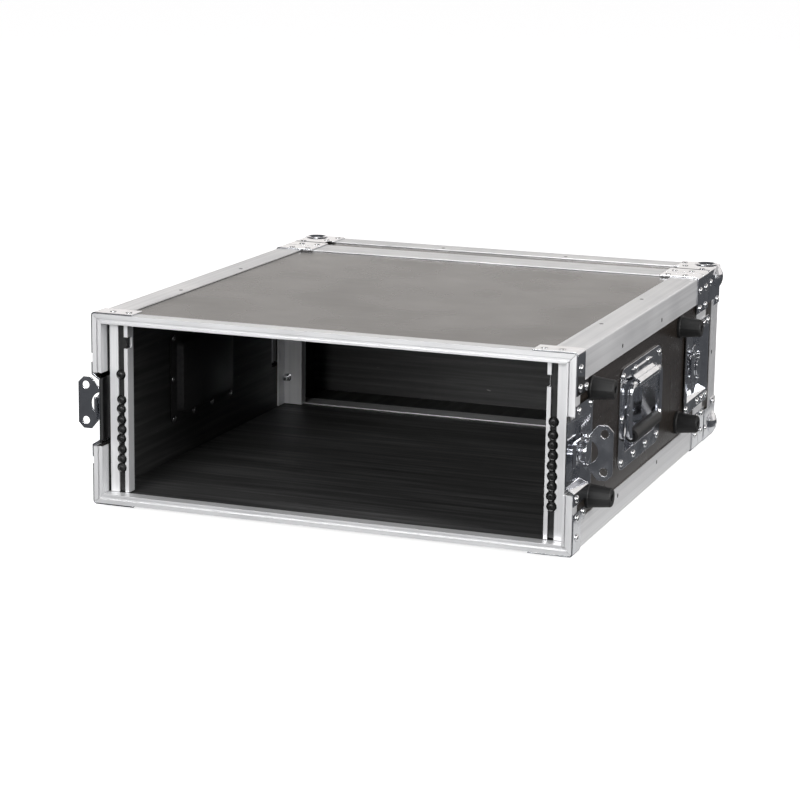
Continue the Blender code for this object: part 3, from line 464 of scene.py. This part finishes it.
# Heights of the rack screws above the aluminium's underside, one spare and then a stack of eight.
RACK_SCREWS = {"left": (135.1, 108.6, 98.8, 87.5, 77.2, 67.4, 56.1, 45.8, 36.5),
               "right": (128.5, 115.3, 105.4, 95.2, 84.7, 74.3, 64.2, 54.2, 44.0)}
CUP_WASHER = [(0, 0), (5.3, 0), (5.3, 0.45), (5.0, 0.95), (4.4, 1.2), (3.9, 1.0), (3.7, 0.6), (0, 0.6)]
PAN_HEAD = [(0, 0.5), (3.6, 0.5), (3.6, 1.3), (3.3, 2.0), (2.7, 2.5), (2.0, 2.75), (1.9, 2.72), (1.0, 1.3),
            (0, 1.1)]


def build_rack_screws():
    for side_name, side in SIDES.items():
        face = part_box("rack_rail_front_" + side_name)[0].y
        x = side * RACK_COLUMN
        washers, heads = bmesh.new(), bmesh.new()
        for number, level in enumerate(RACK_SCREWS[side_name]):
            wander = 0.35 * MM * math.sin(2.4 * number + side)
            place = facing((x + wander, face, height(level)), (0, -1, 0), 0.9 * number)
            add_turned(washers, CUP_WASHER, place, 28)
            add_turned(heads, PAN_HEAD, place, 24, crossed=(6, 7))
        make_piece("rack_washers_" + side_name, washers, CUP_BLACK, "case", 40.0)
        make_piece("rack_screws_" + side_name, heads, BLACK_STEEL, "case", 30.0)


RAIL_BOLT = [(0, 0), (5.0, 0), (5.0, 0.9), (4.0, 1.0), (4.0, 4.2), (3.5, 4.8), (2.6, 4.9), (2.6, 11.0),
             (2.0, 12.0), (0, 12.2)]


def build_rear_rail_bolts():
    """A bolt end with its nut and washer on each rear rail, pointing at the opening."""
    for side_name, side in SIDES.items():
        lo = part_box("rack_rail_rear_" + side_name)[0]
        bm = bmesh.new()
        place = facing((side * 243.0 * MM, lo.y + 18.0 * MM, height(43.0)), (0, -1, 0), 0.4)
        add_turned(bm, RAIL_BOLT, place, 24)
        make_piece("rear_rail_bolt_" + side_name, bm, RIVET_STEEL, "case", 30.0)


FOOT_SCREW = [(0, 0.1), (3.3, 0.1), (3.3, 0.9), (2.9, 1.6), (2.0, 2.0), (1.0, 1.1), (0, 1.0)]
FOOT_HOLE_DEPTH = 12.0 * MM


def build_foot_screws():
    """A pan-headed screw at the bottom of the hole in each rubber foot."""
    bm = bmesh.new()
    for end_name in ("front", "rear"):
        for level_name in ("lower", "upper"):
            lo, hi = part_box("foot_" + end_name + "_" + level_name)
            bottom = (hi.x - FOOT_HOLE_DEPTH, (lo.y + hi.y) / 2, (lo.z + hi.z) / 2)
            add_turned(bm, FOOT_SCREW, facing(bottom, (1, 0, 0), 0.5), 20, crossed=(4, 5))
    make_piece("foot_screws", bm, RIVET_STEEL, "case", 30.0)


def build_slot_shade_strips():
    """Black strips in the rails' channels, behind the slots: painted shade, a dark sheet standing for the
    shade inside the channels.
    """
    for end_name, inward in (("front", 1), ("rear", -1)):
        for side_name, side in SIDES.items():
            lo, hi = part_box("rack_rail_" + end_name + "_" + side_name)
            face = lo.y if inward > 0 else hi.y
            bm = bmesh.new()
            outline = [(side * x * MM, face + inward * y * MM)
                       for x, y in ((227.4, 2.3), (237.6, 2.3), (237.6, 3.9), (227.4, 3.9))]
            add_prism(bm, outline, "z", lo.z + 1.0 * MM, hi.z - 1.0 * MM)
            name = "slot_shade_strip_" + end_name + "_" + side_name
            make_piece(name, bm, BLACK_STEEL, "case", 0, 0.3 * MM)


def build_side_rivets():
    handle_lo, handle_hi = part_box("handle_dish_right")
    centre_y = (handle_lo.y + handle_hi.y) / 2
    centre_z = (handle_lo.z + handle_hi.z) / 2
    for side_name, side in SIDES.items():
        face = side * HALF
        spots = []
        for y in (-71.5, -24, 24, 71.5):
            for z in (-45.4, 45.4):
                spots.append(((face, centre_y + y * MM, centre_z + z * MM), (side, 0, 0)))
        for y in (-72.5, 72.5):
            spots.append(((face, centre_y + y * MM, centre_z + 0.8 * MM), (side, 0, 0)))
        rivet_set("handle_rivets_" + side_name, spots, "case")
        for name, edge, inward, body in (("latch_dish_front_", FRONT, 1, "case"),
                                         ("latch_dish_rear_", JOINT, -1, "case"),
                                         ("latch_keeper_", JOINT, 1, "lid")):
            lo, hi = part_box(name + side_name)
            near, far = 10, (hi.y - lo.y) / MM - 7
            surface = max(abs(lo.x), abs(hi.x)) * side
            spots = []
            for back in (near, far):
                for z in (lo.z + 6.2 * MM, hi.z - 6.2 * MM):
                    under_foot = side > 0 and name == "latch_dish_front_" and back == far and z < MIDDLE
                    if not under_foot:
                        spots.append(((surface, edge + inward * back * MM, z), (side, 0, 0)))
            rivet_set(name + "rivets_" + side_name, spots, body)


def build_corner_rivets():
    for side_name, side in SIDES.items():
        for level_name, level in LEVELS.items():
            flat = MIDDLE + level * (HALF_HEIGHT + BRACE_FACE)
            face = side * (HALF + BRACE_FACE)
            rear = REAR + BRACE_FACE
            spots = [((side * 225 * MM, REAR - 31 * MM, flat), (0, 0, level)),
                     ((side * 219 * MM, REAR - 9 * MM, flat), (0, 0, level)),
                     ((side * 249 * MM, REAR - 47 * MM, flat), (0, 0, level))]
            rivet_set("ball_corner_rivets_flat_" + level_name + "_" + side_name, spots, "lid", FLAT_RIVET)
            spots = [((face, REAR - 46 * MM, MIDDLE + level * 86 * MM), (side, 0, 0)),
                     ((face, REAR - 10 * MM, MIDDLE + level * 61 * MM), (side, 0, 0)),
                     ((side * 219 * MM, rear, MIDDLE + level * 90 * MM), (0, 1, 0)),
                     ((side * 249 * MM, rear, MIDDLE + level * 61 * MM), (0, 1, 0))]
            rivet_set("ball_corner_rivets_" + level_name + "_" + side_name, spots, "lid")


# ---------------------------------------------------------------- inner handle covers

def build_inner_covers():
    """Black pressed covers over the backs of the handle recesses, riveted to the inner faces."""
    lo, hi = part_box("handle_dish_right")
    centre = ((lo.y + hi.y) / 2, (lo.z + hi.z) / 2)
    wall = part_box("right_panel")[0].x
    # Half length, half height, corner radius and distance from the wall of each outline, in mm.
    loops = [(83.0, 50.5, 12.0, 0.3), (83.0, 50.5, 12.0, 1.3), (69.0, 42.0, 8.0, 1.5),
             (67.5, 40.8, 8.0, 2.6), (65.5, 38.8, 7.0, 8.3), (64.0, 37.3, 6.0, 9.1)]
    for side_name, side in SIDES.items():
        bm = bmesh.new()
        rings = []
        for half_y, half_z, radius, out in loops:
            outline = rounded_rectangle(centre, half_y * MM, half_z * MM, radius * MM)
            rings.append([bm.verts.new((side * (wall - out * MM), y, z)) for y, z in outline])
        for outer, inner in zip(rings, rings[1:]):
            for index in range(len(outer)):
                after = (index + 1) % len(outer)
                bm.faces.new([outer[index], outer[after], inner[after], inner[index]])
        bm.faces.new(rings[-1])
        cover = make_piece("handle_cover_" + side_name, bm, COVER_BLACK, "case", 40.0)
        thicken = cover.modifiers.new("sheet", "SOLIDIFY")
        thicken.thickness = 0.6 * MM
        thicken.offset = -1.0
        surface = side * (wall - 1.3 * MM)
        spots = []
        for y in (-74, -24, 24, 74):
            for z in (-45.4, 45.4):
                spots.append(((surface, centre[0] + y * MM, centre[1] + z * MM), (-side, 0, 0)))
        for y in (-75, 75):
            spots.append(((surface, centre[0] + y * MM, centre[1]), (-side, 0, 0)))
        rivet_set("handle_cover_rivets_" + side_name, spots, "case", FLAT_RIVET)


# ---------------------------------------------------------------- CAD pieces' finishes

def finish_cad_nodes():
    inner_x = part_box("right_panel")[0].x + 0.5 * MM
    inner_z = (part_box("bottom_panel")[1].z - 0.5 * MM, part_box("top_panel")[0].z + 0.5 * MM)
    inner_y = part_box("lid_back_panel")[0].y + 0.5 * MM
    low = (-inner_x, FRONT - 1.0, inner_z[0])
    high = (inner_x, inner_y, inner_z[1])
    boards = {axis: laminated_board("board_" + axis, axis, low, high) for axis in "xy"}
    # The floor inside is a copy whose stain is 2.1 times lighter: painted light on the face turned up.
    floor_board_painted_light = laminated_board("board_floor_painted_light", "x", low, high, 2.1)
    lengthwise = ("rear_frame_upper", "rear_frame_lower", "lid_frame", "lid_edge_angle")
    for name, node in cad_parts.items():
        if name == "bottom_panel":
            material = floor_board_painted_light
        elif name in ("top_panel", "lid_back_panel"):
            material = boards["x"]
        elif name in ("left_panel", "right_panel", "lid_rim"):
            material = boards["y"]
        elif name.startswith("edge_angle_"):
            material = ALUMINIUM["y"]
        elif name in ("front_frame_top", "front_frame_bottom") or name in lengthwise:
            material = ALUMINIUM["x"]
        # Rear rails take the lighter copy: painted light.
        elif name.startswith("rack_rail_rear_"):
            material = REAR_RAIL_PAINTED_LIGHT
        elif name.startswith(("front_frame_", "rack_rail_")):
            material = ALUMINIUM["z"]
        elif name.startswith(("foot_", "handle_grip_")):
            material = RUBBER
        elif name.startswith("latch_dish_"):
            material = DISH_CHROME_SHADED_BACK
        else:
            material = CHROME
        node.data.materials.clear()
        node.data.materials.append(material)


# ---------------------------------------------------------------- stage, light and camera

def area_light(name, location, target, size, energy, colour=(1.0, 1.0, 1.0)):
    light = bpy.data.lights.new(name, "AREA")
    light.shape = "RECTANGLE"
    light.size, light.size_y = size
    light.energy = energy
    light.color = colour
    lamp = bpy.data.objects.new(name, light)
    lamp.location = location
    lamp.rotation_euler = (Vector(target) - Vector(location)).to_track_quat("-Z", "Y").to_euler()
    bpy.context.scene.collection.objects.link(lamp)


def build_stage():
    bm = bmesh.new()
    bmesh.ops.create_grid(bm, x_segments=1, y_segments=1, size=40.0)
    mesh = bpy.data.meshes.new("floor")
    bm.to_mesh(mesh)
    bm.free()
    floor = bpy.data.objects.new("floor", mesh)
    bpy.context.scene.collection.objects.link(floor)
    material, nodes, links, shader = new_material("floor_white")
    shader.inputs["Base Color"].default_value = (0.85, 0.85, 0.85, 1.0)
    shader.inputs["Roughness"].default_value = 0.9
    shader.inputs["Emission Color"].default_value = (1.0, 1.0, 1.0, 1.0)
    shader.inputs["Emission Strength"].default_value = 0.80
    mesh.materials.append(material)
    floor.visible_glossy = False
    floor.visible_diffuse = False


def reflected_card(name, low, high, brightness):
    """A flat panel on the floor that only shows as a reflection in polished metal."""
    bm = bmesh.new()
    corners = [(low[0], low[1]), (high[0], low[1]), (high[0], high[1]), (low[0], high[1])]
    bm.faces.new([bm.verts.new((x, y, -0.001)) for x, y in corners])
    mesh = bpy.data.meshes.new(name)
    bm.to_mesh(mesh)
    bm.free()
    card = bpy.data.objects.new(name, mesh)
    bpy.context.scene.collection.objects.link(card)
    material, nodes, links, shader = new_material(name)
    shader.inputs["Base Color"].default_value = (0.0, 0.0, 0.0, 1.0)
    shader.inputs["Specular IOR Level"].default_value = 0.0
    shader.inputs["Emission Color"].default_value = (1.0, 1.0, 1.0, 1.0)
    shader.inputs["Emission Strength"].default_value = brightness
    mesh.materials.append(material)
    card.visible_camera = False
    card.visible_diffuse = False
    card.visible_shadow = False


def build_world():
    """A dim studio with a bright wall low down behind the case."""
    world = bpy.data.worlds.new("studio")
    bpy.context.scene.world = world
    world.use_nodes = True
    nodes, links = world.node_tree.nodes, world.node_tree.links
    background = nodes["Background"]
    coord = nodes.new("ShaderNodeTexCoord")
    split = nodes.new("ShaderNodeSeparateXYZ")
    links.new(coord.outputs["Generated"], split.inputs[0])
    factor = None
    for axis, dark, bright in (("Z", -0.05, 0.02), ("Z", 0.62, 0.40), ("Y", 0.05, 0.40)):
        edge = map_range(nodes, links, split.outputs[axis], 0.0, 1.0, dark, bright)
        factor = edge if factor is None else product(nodes, links, factor, edge)
    colours = ramp(nodes, links, factor, [(0.0, (0.085, 0.088, 0.095)), (1.0, (1.0, 0.965, 0.935))])
    links.new(colours.outputs["Color"], background.inputs["Color"])
    background.inputs["Strength"].default_value = 1.0


def build_camera():
    camera = bpy.data.objects.new("camera", bpy.data.cameras.new("camera"))
    camera.data.lens = 110.25
    camera.data.sensor_width = 36.0
    camera.location = (0.8964, -2.49685, 0.6618)
    yaw, pitch, roll = math.radians(20.37), math.radians(12.4), math.radians(0.8)
    forward = Vector((-math.sin(yaw) * math.cos(pitch), math.cos(yaw) * math.cos(pitch), -math.sin(pitch)))
    right = Vector((math.cos(yaw), math.sin(yaw), 0.0))
    up = right.cross(forward)
    tilted_right = math.cos(roll) * right + math.sin(roll) * up
    tilted_up = math.cos(roll) * up - math.sin(roll) * right
    camera.rotation_euler = Matrix((tilted_right, tilted_up, -forward)).transposed().to_euler()
    bpy.context.scene.collection.objects.link(camera)
    bpy.context.scene.camera = camera


def build_lights():
    area_light("front_softbox", (-0.5, -3.4, 1.1), (0, 0, 0.1), (1.8, 1.2), 96.0)
    area_light("right_softbox", (2.6, -0.9, 0.9), (0, 0, 0.1), (1.0, 1.4), 48.0)
    area_light("top_softbox", (-0.4, -0.5, 2.6), (0, 0, 0.1), (1.6, 1.6), 22.0)
    reflected_card("floor_glow_right", (0.262, -0.45), (0.302, 0.60), 0.70)


finish_cad_nodes()
build_rear_braces()
build_front_brace_rivets()
build_angle_screws()
build_rack_screws()
build_rear_rail_bolts()
build_foot_screws()
build_slot_shade_strips()
build_side_rivets()
build_corner_rivets()
build_inner_covers()
build_stage()
build_world()
build_lights()
build_camera()
bpy.context.scene.view_settings.view_transform = "Standard"
